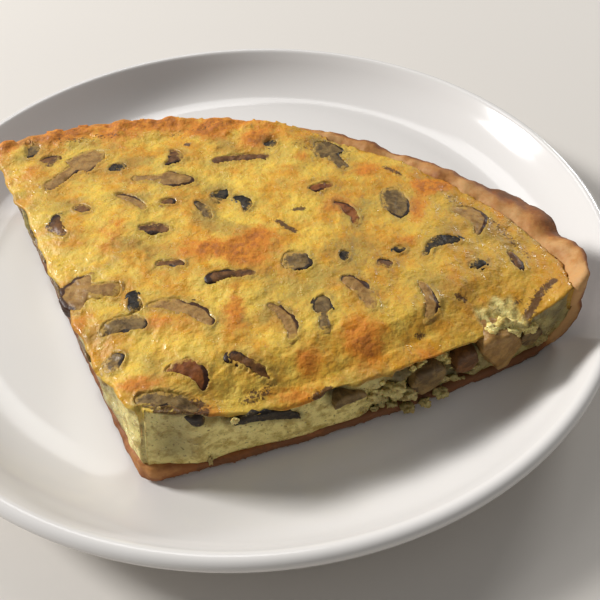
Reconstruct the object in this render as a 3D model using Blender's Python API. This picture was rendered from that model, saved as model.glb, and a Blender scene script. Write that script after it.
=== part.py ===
"""A quarter of a mushroom quiche lying on a round white coupe plate.

The frame is the plate's: the origin is at the middle of the plate's foot, +Z is up, and
the slice's tip points towards -Y. Sizes below are in millimetres, and the meshes in metres.
"""

import math

import bmesh
import bpy
from mathutils import Vector, noise

MM = 0.001
GAP = 0.3  # clearance between touching pieces

# Plate
PLATE_RADIUS = 110.0
FOOT_INNER = 60.0
FOOT_OUTER = 66.0
FOOT_HEIGHT = 2.0
FLOOR_TOP = 6.5
PLATE_WALL = 4.2
PLATE_FLAT_RADIUS = 84.5
PLATE_BEND_RADIUS = 26.0  # of the middle of the plate's wall
PLATE_BEND_ANGLE = math.radians(55.0)
PLATE_BEND_STEPS = 5
PLATE_SIDES = 56

# Slice: the tip, the directions of its two cuts, and the pastry shell's radii about the tip
TIP_X = -22.5
TIP_Y = -85.5
FRONT_CUT = math.radians(21.2)
LEFT_CUT = math.radians(120.3)
FRONT_BULGE = 3.0
TIP_LEAN = 6.5
TIP_LEAN_REACH = 11.0
SHELL_BASE_RADIUS = 116.0
SHELL_FOOT_RADIUS = 120.5
RIM_RADIUS = 124.0
RIM_SWELL = 6.0
RIM_END = 5.0
RIM_INSIDE = 118.5
REST_GAP = 0.4  # between the pastry and the plate

# Heights above the slice's underside
SLICE_HEIGHT = 24.0
BASE_PASTRY = 3.4
TIP_PASTRY = 3.0
CUSTARD_GAP = 0.45
FRONT_DROOP = 4.6
FRONT_DROOP_REACH = 7.0
LEFT_DROOP = 1.6
LEFT_DROOP_REACH = 5.0
UNDULATION = 0.8
UNDULATION_LENGTH = 22.0

# Mesh steps
TURN_STEPS = 22
BASE_RADII = (1.6, 5.0, 10.0, 16.0, 24.0, 34.0, 45.0, 56.0, 67.0, 78.0, 89.0, 98.0, 106.0)
CUSTARD_LEVELS = 4

# Mushroom slices
PROUD = 0.6  # how far a slice stands above the custard
FLAT_DEPTH = 3.5
EDGE_DEPTH = 5.0
FACE_PROUD = 0.7
FACE_DEPTH = 4.5

# kind, x, y, length, width, turn in degrees: slices that show in the top
TOP_SLICES = (
    ("half_cap", -72.0, 17.5, 9.0, 6.5, -70),
    ("lump", -64.5, 12.5, 6.0, 5.0, 20),
    ("whole", -55.5, 8.0, 24.0, 11.0, 56),
    ("lump", -42.5, 8.5, 6.0, 4.5, 20),
    ("whole", -27.5, 2.6, 20.0, 7.5, -4),
    ("half_cap", -26.0, 13.6, 10.0, 6.0, 265),
    ("half_cap", -35.2, -7.6, 14.0, 4.5, -35),
    ("lump", -24.6, -8.2, 5.5, 3.8, 20),
    ("lump", -26.5, -20.0, 9.5, 4.8, 0),
    ("lump", -49.0, -11.2, 5.5, 4.2, -30),
    ("half_cap", -54.0, -18.8, 11.0, 5.0, 118),
    ("strip", -4.5, 13.8, 20.0, 3.4, 10),
    ("lump", 4.6, 21.2, 4.6, 3.6, 30),
    ("whole", 24.6, 15.6, 17.0, 10.5, 118),
    ("lump", 20.6, -1.0, 9.0, 3.8, 22),
    ("half_cap", 28.0, -12.0, 13.0, 5.0, -58),
    ("lump", 42.4, -8.0, 14.0, 8.6, -78),
    ("strip", -13.6, -11.6, 10.0, 3.0, -62),
    ("lump", -9.6, -4.2, 6.5, 5.0, 40),
    ("half_cap", -2.2, -8.4, 8.5, 5.0, -60),
    ("lump", 13.6, -33.4, 9.0, 6.8, -20),
    ("lump", 26.4, -31.0, 6.0, 3.0, 84),
    ("half_cap", 53.0, -26.6, 13.5, 5.6, 26),
    ("lump", 41.4, -28.4, 4.4, 2.6, 10),
    ("lump", 37.2, -33.8, 5.2, 3.8, -10),
    ("strip", -20.0, -34.4, 9.0, 3.0, -6),
    ("strip", -3.4, -38.6, 14.0, 3.4, 13),
    ("strip", 29.6, -44.0, 14.0, 4.4, -56),
    ("half_cap", 46.6, -46.0, 13.5, 5.0, -84),
    ("lump", 61.6, -34.6, 5.2, 2.8, 20),
    ("strip", 72.0, -32.6, 9.0, 3.0, -80),
    ("half_cap", 63.0, -15.4, 13.5, 8.5, -58),
    ("whole", -39.6, -43.6, 16.0, 13.0, 180),
    ("half_cap", -14.2, -51.2, 20.0, 6.5, -23),
    ("strip", -28.4, -55.6, 12.0, 6.0, 8),
    ("lump", -27.2, -48.2, 6.5, 3.8, -72),
    ("half_cap", 10.6, -53.6, 14.0, 5.2, -60),
    ("whole", 20.2, -51.0, 13.0, 5.5, 92),
    ("half_cap", -10.8, -69.6, 11.0, 6.5, -28),
    ("strip", 3.2, -66.8, 13.0, 2.8, -26),
    ("lump", -29.0, -66.2, 7.0, 4.8, 60),
    ("strip", -15.0, -77.2, 15.0, 4.2, -7),
)

# kind, distance from the tip, height, length, width, turn: slices that show in the front cut
FRONT_SLICES = (
    ("half_cap", 31.0, 15.8, 17.0, 4.6, -16),
    ("strip", 51.0, 13.6, 8.5, 3.6, 8),
    ("lump", 72.6, 11.4, 9.5, 8.0, 60),
    ("lump", 83.4, 13.0, 7.0, 6.0, 100),
    ("strip", 93.6, 12.8, 13.5, 7.2, -64),
    ("lump", 103.4, 12.0, 7.6, 6.0, -36),
)

# the same for the left cut
LEFT_SLICES = (
    ("strip", 58.0, 14.4, 15.0, 5.0, 12),
    ("half_cap", 79.0, 14.2, 15.0, 5.5, 188),
    ("lump", 98.0, 12.4, 9.0, 6.0, 20),
    ("strip", 38.0, 11.4, 10.0, 4.4, -14),
)


def make_material(name, colour, roughness):
    """A plain Principled finish."""
    material = bpy.data.materials.new(name)
    material.use_nodes = True
    shader = material.node_tree.nodes["Principled BSDF"]
    shader.inputs["Base Color"].default_value = (*colour, 1.0)
    shader.inputs["Roughness"].default_value = roughness
    return material


def make_object(name, mesh_builder, material):
    """A named object from a bmesh in metres, smooth with sharp edges kept."""
    bmesh.ops.recalc_face_normals(mesh_builder, faces=mesh_builder.faces)
    if mesh_builder.calc_volume(signed=True) < 0.0:
        bmesh.ops.reverse_faces(mesh_builder, faces=mesh_builder.faces)
    mesh = bpy.data.meshes.new(name)
    mesh_builder.to_mesh(mesh)
    mesh_builder.free()
    mesh.materials.append(material)
    mesh.shade_smooth()
    mesh.set_sharp_from_angle(angle=math.radians(40.0))
    part = bpy.data.objects.new(name, mesh)
    bpy.context.scene.collection.objects.link(part)
    return part


def clear_scene():
    """Removes every object that a new file starts with."""
    for item in list(bpy.data.objects):
        bpy.data.objects.remove(item, do_unlink=True)


def blend(value, low, high):
    """0 below low, 1 above high, and a smooth step between."""
    share = min(1.0, max(0.0, (value - low) / (high - low)))
    return share * share * (3.0 - 2.0 * share)


# Plate --------------------------------------------------------------------------------------


def plate_rise(x, y):
    """Height of the plate's upper face above its flat floor."""
    bend_radius = PLATE_BEND_RADIUS - PLATE_WALL / 2
    reach = math.hypot(x, y) - PLATE_FLAT_RADIUS
    if reach <= 0.0:
        return 0.0
    angle = math.asin(min(reach / bend_radius, math.sin(PLATE_BEND_ANGLE)))
    straight = max(0.0, reach - bend_radius * math.sin(PLATE_BEND_ANGLE))
    return bend_radius * (1.0 - math.cos(angle)) + straight * math.tan(PLATE_BEND_ANGLE)


def plate_bend(offset):
    """Points along the plate's bent wall, offset from the wall's middle towards the inside."""
    radius = PLATE_BEND_RADIUS - offset
    centre_height = FLOOR_TOP - PLATE_WALL / 2 + PLATE_BEND_RADIUS
    points = []
    for step in range(PLATE_BEND_STEPS + 1):
        angle = PLATE_BEND_ANGLE * step / PLATE_BEND_STEPS
        across = PLATE_FLAT_RADIUS + radius * math.sin(angle)
        points.append((across, centre_height - radius * math.cos(angle)))
    return points


def plate_lip():
    """A half round that closes the wall's top, from the inside to the outside."""
    half = PLATE_WALL / 2
    centre_radius = PLATE_RADIUS - half
    bend_end = PLATE_FLAT_RADIUS + PLATE_BEND_RADIUS * math.sin(PLATE_BEND_ANGLE)
    bend_top = FLOOR_TOP - half + PLATE_BEND_RADIUS * (1.0 - math.cos(PLATE_BEND_ANGLE))
    centre_height = bend_top + (centre_radius - bend_end) * math.tan(PLATE_BEND_ANGLE)
    start = PLATE_BEND_ANGLE + math.pi / 2
    points = []
    for step in range(6):
        angle = start - math.pi * step / 5
        points.append((centre_radius + half * math.cos(angle), centre_height + half * math.sin(angle)))
    return points


def build_plate(material):
    """A turned coupe plate: a flat floor, a bent wall, a round lip and a foot ring."""
    upper = [(0.0, FLOOR_TOP)] + plate_bend(PLATE_WALL / 2) + plate_lip()
    lower = list(reversed(plate_bend(-PLATE_WALL / 2)))
    foot = [
        (FOOT_OUTER + 2.0, FOOT_HEIGHT),
        (FOOT_OUTER, 0.0),
        (FOOT_INNER, 0.0),
        (FOOT_INNER - 2.0, FOOT_HEIGHT),
        (0.0, FOOT_HEIGHT),
    ]
    builder = bmesh.new()
    profile = [builder.verts.new((radius * MM, 0.0, height * MM)) for radius, height in upper + lower + foot]
    for start, end in zip(profile, profile[1:]):
        builder.edges.new((start, end))
    bmesh.ops.spin(
        builder,
        geom=builder.verts[:] + builder.edges[:],
        cent=(0.0, 0.0, 0.0),
        axis=(0.0, 0.0, 1.0),
        angle=2.0 * math.pi,
        steps=PLATE_SIDES,
        use_merge=True,
    )
    bmesh.ops.remove_doubles(builder, verts=builder.verts, dist=0.00001)
    return make_object("plate", builder, material)


# Slice: places --------------------------------------------------------------------------------


def wedge_xy(radius, turn):
    """Plan place at a radius from the tip, and a turn of 0 on the front cut to 1 on the left cut."""
    angle = FRONT_CUT + turn * (LEFT_CUT - FRONT_CUT)
    bulge = FRONT_BULGE * math.sin(math.pi * min(1.0, radius / RIM_RADIUS)) * (1.0 - turn) ** 3
    x = TIP_X + radius * math.cos(angle) + bulge * math.sin(FRONT_CUT)
    y = TIP_Y + radius * math.sin(angle) - bulge * math.cos(FRONT_CUT)
    return x, y


def wedge_point(radius, turn, height):
    """A place in metres: height is above the underside, and follows the plate's rise."""
    x, y = wedge_xy(radius, turn)
    lean = TIP_LEAN * height / SLICE_HEIGHT * math.exp(-radius / TIP_LEAN_REACH)
    middle = (FRONT_CUT + LEFT_CUT) / 2
    x += lean * math.cos(middle)
    y += lean * math.sin(middle)
    z = FLOOR_TOP + REST_GAP + plate_rise(x, y) + height
    return Vector((x * MM, y * MM, z * MM))


def polar(x, y):
    """Radius from the tip and turn between the cuts of a place in plan."""
    radius = math.hypot(x - TIP_X, y - TIP_Y)
    angle = math.atan2(y - TIP_Y, x - TIP_X)
    return radius, (angle - FRONT_CUT) / (LEFT_CUT - FRONT_CUT)


def top_height(x, y):
    """Height of the custard's top above the underside: lower along the cuts, gently uneven."""
    radius, turn = polar(x, y)
    sweep = LEFT_CUT - FRONT_CUT
    from_front = radius * math.sin(max(0.0, turn) * sweep)
    from_left = radius * math.sin(max(0.0, 1.0 - turn) * sweep)
    share = blend(radius, 8.0, 24.0) * (1.0 - blend(radius, 100.0, 112.0))
    droop = FRONT_DROOP * share * math.exp(-((from_front / FRONT_DROOP_REACH) ** 2))
    droop += LEFT_DROOP * share * math.exp(-((from_left / LEFT_DROOP_REACH) ** 2))
    wave = UNDULATION * noise.noise(Vector((x, y, 0.0)) / UNDULATION_LENGTH)
    return SLICE_HEIGHT - droop + wave


def top_z(x, y):
    """The custard's top in millimetres above the foot."""
    return FLOOR_TOP + REST_GAP + plate_rise(x, y) + top_height(x, y)


def rim_radius(turn):
    """The pastry rim's outer radius: it swells near the right corner and is drawn in at its end."""
    swell = RIM_SWELL * math.exp(-(((turn - 0.15) / 0.07) ** 2))
    end = RIM_END * (1.0 - blend(turn, 0.0, 0.05))
    wave = 0.8 * math.sin(turn * 41.0) + 0.5 * math.sin(turn * 97.0)
    return RIM_RADIUS + swell - end + wave


def rim_inside(turn):
    """Where the rim meets the custard: far in near the right corner, further out to the left."""
    return RIM_INSIDE - RIM_END * (1.0 - blend(turn, 0.0, 0.06)) + 2.0 * blend(turn, 0.4, 0.52)


def rim_height(turn):
    """The rim's top above the underside."""
    return SLICE_HEIGHT + 1.6 * (1.0 - blend(turn, 0.2, 0.5)) - 0.6 + 0.5 * math.sin(turn * 33.0)


def base_thickness(radius):
    """Base pastry, with a thicker lump under the tip."""
    return BASE_PASTRY + TIP_PASTRY * math.exp(-((radius / 8.0) ** 2))


# Slice: solids --------------------------------------------------------------------------------


def slab(columns, rows, low, high, levels):
    """A closed body between two grids: low(i, j) and high(i, j) give matching corners.

    Its four sides have extra rows of points, as many as levels, on straight lines between the
    two grids, which a caller can move afterwards.
    """
    builder = bmesh.new()
    layers = []
    for level in range(levels + 1):
        share = level / levels
        layer = {}
        for i in range(columns):
            for j in range(rows):
                on_side = i in (0, columns - 1) or j in (0, rows - 1)
                if on_side or level in (0, levels):
                    layer[i, j] = builder.verts.new(low(i, j).lerp(high(i, j), share))
        layers.append(layer)
    for layer in (layers[0], layers[-1]):
        for i in range(columns - 1):
            for j in range(rows - 1):
                corners = (layer[i, j], layer[i + 1, j], layer[i + 1, j + 1], layer[i, j + 1])
                builder.faces.new(corners)
    ring = [(i, 0) for i in range(columns - 1)]
    ring += [(columns - 1, j) for j in range(rows - 1)]
    ring += [(i, rows - 1) for i in range(columns - 1, 0, -1)]
    ring += [(0, j) for j in range(rows - 1, 0, -1)]
    for below, above in zip(layers, layers[1:]):
        for start, end in zip(ring, ring[1:] + ring[:1]):
            builder.faces.new((below[start], below[end], above[end], above[start]))
    return builder


def crust_section(turn):
    """Matching places on the pastry's outside and inside, from the tip out and up to the rim."""
    rim = rim_radius(turn)
    inside = rim_inside(turn)
    top = rim_height(turn)
    section = [((radius, 0.0), (radius, base_thickness(radius))) for radius in BASE_RADII]
    section.append(((SHELL_BASE_RADIUS, 0.0), (112.0, BASE_PASTRY + 0.3)))
    section.append(((SHELL_FOOT_RADIUS, 2.4), (114.6, 6.5)))
    section.append(((SHELL_FOOT_RADIUS + 1.0, 9.0), (115.8, 12.0)))
    section.append(((rim - 1.6, 17.0), (min(117.0, inside + 0.5), 19.0)))
    section.append(((rim, top - 3.0), (inside, top - 2.6)))
    section.append(((rim - 0.6, top - 0.4), (inside + 0.35 * (rim - inside), top)))
    return section


def build_crust(material):
    """The pastry shell: a thin base, and a wall round the back that leans outwards."""
    rows = TURN_STEPS + 1
    sections = [crust_section(j / TURN_STEPS) for j in range(rows)]

    def outside(i, j):
        radius, height = sections[j][i][0]
        return wedge_point(radius, j / TURN_STEPS, height)

    def inside(i, j):
        radius, height = sections[j][i][1]
        return wedge_point(radius, j / TURN_STEPS, height)

    builder = slab(len(sections[0]), rows, outside, inside, 1)
    return make_object("crust", builder, material)


def custard_section(turn):
    """Matching places on the custard's underside and top: the underside stays clear of the pastry."""
    inside = [pair[1] for pair in crust_section(turn)[:-1]]
    back = inside[-1][0] - CUSTARD_GAP - 0.2
    last_base = len(BASE_RADII) - 1
    wall_steps = len(inside) - 1 - last_base
    section = []
    for index, (radius, height) in enumerate(inside):
        before = Vector(inside[max(index - 1, 0)])
        after = Vector(inside[min(index + 1, len(inside) - 1)])
        along = (after - before).normalized()
        low = (radius - along.y * CUSTARD_GAP if index else radius, height + along.x * CUSTARD_GAP)
        share = max(0.0, (index - last_base) / wall_steps)
        start = min(radius, BASE_RADII[-1])
        section.append((low, start + (back - start) * share))
    return section


def cut_relief(distance, height):
    """How far the front cut stands out or is torn in, along its outward direction."""
    hollow = -1.8 * math.exp(-(((distance - 8.0) / 4.0) ** 2)) * math.exp(-(((height - 15.5) / 7.5) ** 2))
    torn = blend(distance, 52.0, 60.0) * (1.0 - blend(distance, 104.0, 110.0))
    return hollow + 1.5 * torn * noise.noise(Vector((distance, height * 1.5, 4.0)) / 9.0)


def build_custard(material):
    """The filling: it stands on the base pastry inside the wall, and fills the slice."""
    rows = TURN_STEPS + 1
    sections = [custard_section(j / TURN_STEPS) for j in range(rows)]
    columns = len(sections[0])

    def low(i, j):
        radius, height = sections[j][i][0]
        return wedge_point(radius, j / TURN_STEPS, height)

    def high(i, j):
        radius = sections[j][i][1]
        x, y = wedge_xy(radius, j / TURN_STEPS)
        return wedge_point(radius, j / TURN_STEPS, top_height(x, y))

    builder = slab(columns, rows, low, high, CUSTARD_LEVELS)
    outward = Vector((math.sin(FRONT_CUT), -math.cos(FRONT_CUT), 0.0))
    for vertex in builder.verts:
        x = vertex.co.x / MM
        y = vertex.co.y / MM
        radius, turn = polar(x, y)
        height = vertex.co.z / MM - FLOOR_TOP - REST_GAP - plate_rise(x, y)
        if turn < 0.01 and 5.5 < height < SLICE_HEIGHT - FRONT_DROOP - 1.5:
            vertex.co += outward * cut_relief(radius, height) * MM
    return make_object("custard", builder, material)


# Mushroom slices ------------------------------------------------------------------------------


def half_cap_outline(length, width):
    """Half a cap: a round back over a shallow hollow."""
    points = []
    for step in range(7):
        angle = math.pi * step / 6
        points.append((length / 2 * math.cos(angle), width * (math.sin(angle) - 0.45)))
    points.append((-length * 0.22, -width * 0.18))
    points.append((length * 0.22, -width * 0.18))
    return points


def strip_outline(length, width):
    """A long slice of stem, a little bowed, with round ends."""
    bow = 0.3 * width
    upper = [(0.5, 0.05), (0.42, 0.36), (0.2, 0.5), (-0.1, 0.46), (-0.38, 0.4), (-0.5, 0.1)]
    lower = [(-0.44, -0.35), (-0.15, -0.48), (0.2, -0.44), (0.44, -0.3)]
    return [
        (x * length, y * width + bow * math.cos(math.pi * x) - bow / 2) for x, y in upper + lower
    ]


def whole_outline(length, width):
    """A mushroom cut through: a round cap at +X, and a stem that swells towards its foot."""
    points = []
    cap = 0.46 * length
    for step in range(6):
        angle = -math.pi / 2 + math.pi * step / 5
        points.append((length / 2 - cap + cap * math.cos(angle), width / 2 * math.sin(angle)))
    points.append((length * 0.0, width * 0.2))
    points.append((-length * 0.3, width * 0.16))
    points.append((-length * 0.48, width * 0.2))
    points.append((-length * 0.48, -width * 0.2))
    points.append((-length * 0.3, -width * 0.17))
    points.append((length * 0.0, -width * 0.2))
    return points


def lump_outline(length, width):
    """A rounded scrap, uneven in a way that its own size settles."""
    points = []
    for step in range(9):
        angle = 2.0 * math.pi * step / 9
        swell = 1.0 + 0.16 * noise.noise(Vector((3.0 * math.cos(angle), length, width)))
        points.append((length / 2 * swell * math.cos(angle), width / 2 * swell * math.sin(angle)))
    return points


OUTLINES = {
    "half_cap": half_cap_outline,
    "strip": strip_outline,
    "whole": whole_outline,
    "lump": lump_outline,
}


def grow(outline, amount):
    """The outline moved outwards by an amount, corner by corner."""
    grown = []
    count = len(outline)
    for index, (x, y) in enumerate(outline):
        before = Vector(outline[index - 1])
        here = Vector((x, y))
        after = Vector(outline[(index + 1) % count])
        side_in = (here - before).normalized()
        side_out = (after - here).normalized()
        normal = Vector((side_in.y + side_out.y, -side_in.x - side_out.x)).normalized()
        share = max(0.6, normal.dot(Vector((side_in.y, -side_in.x))))
        grown.append((x + normal.x * amount / share, y + normal.y * amount / share))
    return grown


def placed_outline(kind, across, along, length, width, degrees, margin):
    """An outline of a kind, grown by a margin, turned and moved to its place."""
    outline = grow(OUTLINES[kind](length, width), margin)
    angle = math.radians(degrees)
    cosine = math.cos(angle)
    sine = math.sin(angle)
    return [(across + x * cosine - y * sine, along + x * sine + y * cosine) for x, y in outline]


def prism(near, far):
    """A closed body between two matching outlines of places in metres."""
    builder = bmesh.new()
    near_ring = [builder.verts.new(place) for place in near]
    far_ring = [builder.verts.new(place) for place in far]
    builder.faces.new(near_ring)
    builder.faces.new(list(reversed(far_ring)))
    count = len(near_ring)
    for index in range(count):
        after = (index + 1) % count
        builder.faces.new((near_ring[index], far_ring[index], far_ring[after], near_ring[after]))
    bmesh.ops.triangulate(builder, faces=builder.faces, quad_method="BEAUTY", ngon_method="BEAUTY")
    return builder


def top_slice(entry, margin, proud):
    """A slice sunk in the top, or with a margin the space for it."""
    kind, x, y, length, width, degrees = entry
    depth = EDGE_DEPTH if width < 3.5 else FLAT_DEPTH
    outline = placed_outline(kind, x, y, length, width, degrees, margin)
    near = [Vector((px * MM, py * MM, (top_z(px, py) + proud) * MM)) for px, py in outline]
    far = [Vector((px * MM, py * MM, (top_z(px, py) - depth - margin) * MM)) for px, py in outline]
    return prism(near, far)


def cut_place(turn, distance, height, inward):
    """A place on one of the two cuts, moved into the custard by a distance."""
    place = wedge_point(distance, turn, height)
    if turn == 0.0:
        direction = Vector((-math.sin(FRONT_CUT), math.cos(FRONT_CUT), 0.0))
    else:
        direction = Vector((math.sin(LEFT_CUT), -math.cos(LEFT_CUT), 0.0))
    return place + direction * inward * MM


def cut_slice(entry, turn, margin, proud):
    """A slice that shows in a cut, or with a margin the space for it."""
    kind, distance, height, length, width, degrees = entry
    outline = placed_outline(kind, distance, height, length, width, degrees, margin)
    near = [cut_place(turn, across, up, -proud) for across, up in outline]
    far = [cut_place(turn, across, up, FACE_DEPTH + margin) for across, up in outline]
    return prism(near, far)


def build_mushrooms(material):
    """Every slice as its own object, and the bodies that cut the spaces for them."""
    cutters = []
    plans = [("mushroom_top", TOP_SLICES, None), ("mushroom_front", FRONT_SLICES, 0.0)]
    plans.append(("mushroom_left", LEFT_SLICES, 1.0))
    for prefix, entries, turn in plans:
        for number, entry in enumerate(entries, start=1):
            name = f"{prefix}_{number:02d}"
            if turn is None:
                solid = top_slice(entry, 0.0, PROUD)
                space = top_slice(entry, GAP, 6.0)
            else:
                solid = cut_slice(entry, turn, 0.0, FACE_PROUD)
                space = cut_slice(entry, turn, GAP, 6.0)
            make_object(name, solid, material)
            cutters.append(make_object(name + "_space", space, material))
    for cutter in cutters:
        cutter.hide_render = True
        cutter.display_type = "WIRE"
    return cutters


def cut_spaces(body, cutters):
    """Takes the slices' spaces out of the custard."""
    spaces = bpy.data.collections.new("spaces")
    bpy.context.scene.collection.children.link(spaces)
    for cutter in cutters:
        spaces.objects.link(cutter)
        bpy.context.scene.collection.objects.unlink(cutter)
    modifier = body.modifiers.new("spaces", "BOOLEAN")
    modifier.operation = "DIFFERENCE"
    modifier.operand_type = "COLLECTION"
    modifier.collection = spaces
    modifier.solver = "EXACT"


def main():
    """Builds the plate, the pastry, the custard and the mushroom slices."""
    clear_scene()
    glaze = make_material("glazed_white", (0.82, 0.81, 0.78), 0.12)
    pastry = make_material("baked_pastry", (0.50, 0.27, 0.11), 0.7)
    filling = make_material("baked_custard", (0.68, 0.43, 0.08), 0.45)
    mushroom = make_material("cooked_mushroom", (0.15, 0.09, 0.05), 0.4)
    build_plate(glaze)
    build_crust(pastry)
    custard = build_custard(filling)
    cut_spaces(custard, build_mushrooms(mushroom))


main()
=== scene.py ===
"""Looks of a quarter of a mushroom quiche that lies on a round white coupe plate.

Lengths in the classes below are in millimetres, and meshes are in metres. The places of the
plate, the pastry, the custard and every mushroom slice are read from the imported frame.
"""

from __future__ import annotations

import logging
import math
import random
from dataclasses import dataclass, field
from enum import Enum
from typing import Iterable, Sequence

import bmesh
import bpy
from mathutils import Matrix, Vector, noise
from mathutils.bvhtree import BVHTree

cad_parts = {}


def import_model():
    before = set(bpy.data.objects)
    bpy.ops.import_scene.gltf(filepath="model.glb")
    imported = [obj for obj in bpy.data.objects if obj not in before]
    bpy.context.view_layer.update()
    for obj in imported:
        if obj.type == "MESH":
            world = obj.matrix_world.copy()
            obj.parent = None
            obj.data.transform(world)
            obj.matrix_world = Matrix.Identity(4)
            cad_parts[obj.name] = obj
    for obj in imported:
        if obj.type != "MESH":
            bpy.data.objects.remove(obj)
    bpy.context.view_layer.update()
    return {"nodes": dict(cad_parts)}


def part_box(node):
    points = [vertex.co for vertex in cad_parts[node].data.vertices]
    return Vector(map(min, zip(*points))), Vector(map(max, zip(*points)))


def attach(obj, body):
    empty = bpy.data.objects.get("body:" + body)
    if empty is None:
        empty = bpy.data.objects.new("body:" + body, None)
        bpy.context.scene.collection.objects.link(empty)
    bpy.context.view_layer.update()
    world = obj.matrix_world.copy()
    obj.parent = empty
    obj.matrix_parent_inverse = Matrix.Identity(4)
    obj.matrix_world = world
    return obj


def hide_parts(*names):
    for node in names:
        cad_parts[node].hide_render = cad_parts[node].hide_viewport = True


MM = 0.001
LOG = logging.getLogger("quiche")
Colour = tuple[float, float, float]
Socket = bpy.types.NodeSocket
Material = bpy.types.Material
Piece = bpy.types.Object
Builder = bmesh.types.BMesh

PLATE_FLOOR = 6.5  # height of the plate's face
UNDERSIDE = 6.9  # height of the slice's underside
FRONT_TURN = 0.001  # turns below this are on the front cut
LEFT_TURN = 0.999  # turns above this are on the left cut
MERGE = 0.00001  # points closer than this, in metres, are one point


def srgb(red: int, green: int, blue: int) -> Colour:
    """Turns a display colour of 0 to 255 into the linear values that a shader takes.

    Args:
        red: Red, from 0 to 255.
        green: Green, from 0 to 255.
        blue: Blue, from 0 to 255.

    Returns:
        The linear colour.
    """
    parts = []
    for value in (red, green, blue):
        share = value / 255.0
        parts.append(share / 12.92 if share <= 0.04045 else ((share + 0.055) / 1.055) ** 2.4)
    return (parts[0], parts[1], parts[2])


def step(value: float, low: float, high: float) -> float:
    """Smooth step.

    Args:
        value: The value to place.
        low: Where the result leaves 0.
        high: Where the result reaches 1.

    Returns:
        A share from 0 to 1.
    """
    share = min(1.0, max(0.0, (value - low) / (high - low)))
    return share * share * (3.0 - 2.0 * share)


def bell(offset: float, reach: float) -> float:
    """A hump of height 1 at an offset of 0 that fades over a reach."""
    return math.exp(-((offset / reach) ** 2))


def grain(x: float, y: float, z: float, length: float, seed: float = 0.0) -> float:
    """Smooth noise from -1 to 1.

    Args:
        x: Place along X in millimetres.
        y: Place along Y in millimetres.
        z: Place along Z in millimetres.
        length: Size of one feature in millimetres.
        seed: Shifts the pattern.

    Returns:
        The noise at that place.
    """
    return noise.noise(Vector((x / length + seed, y / length - seed, z / length + 0.37 * seed)))


# Shader building


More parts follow.
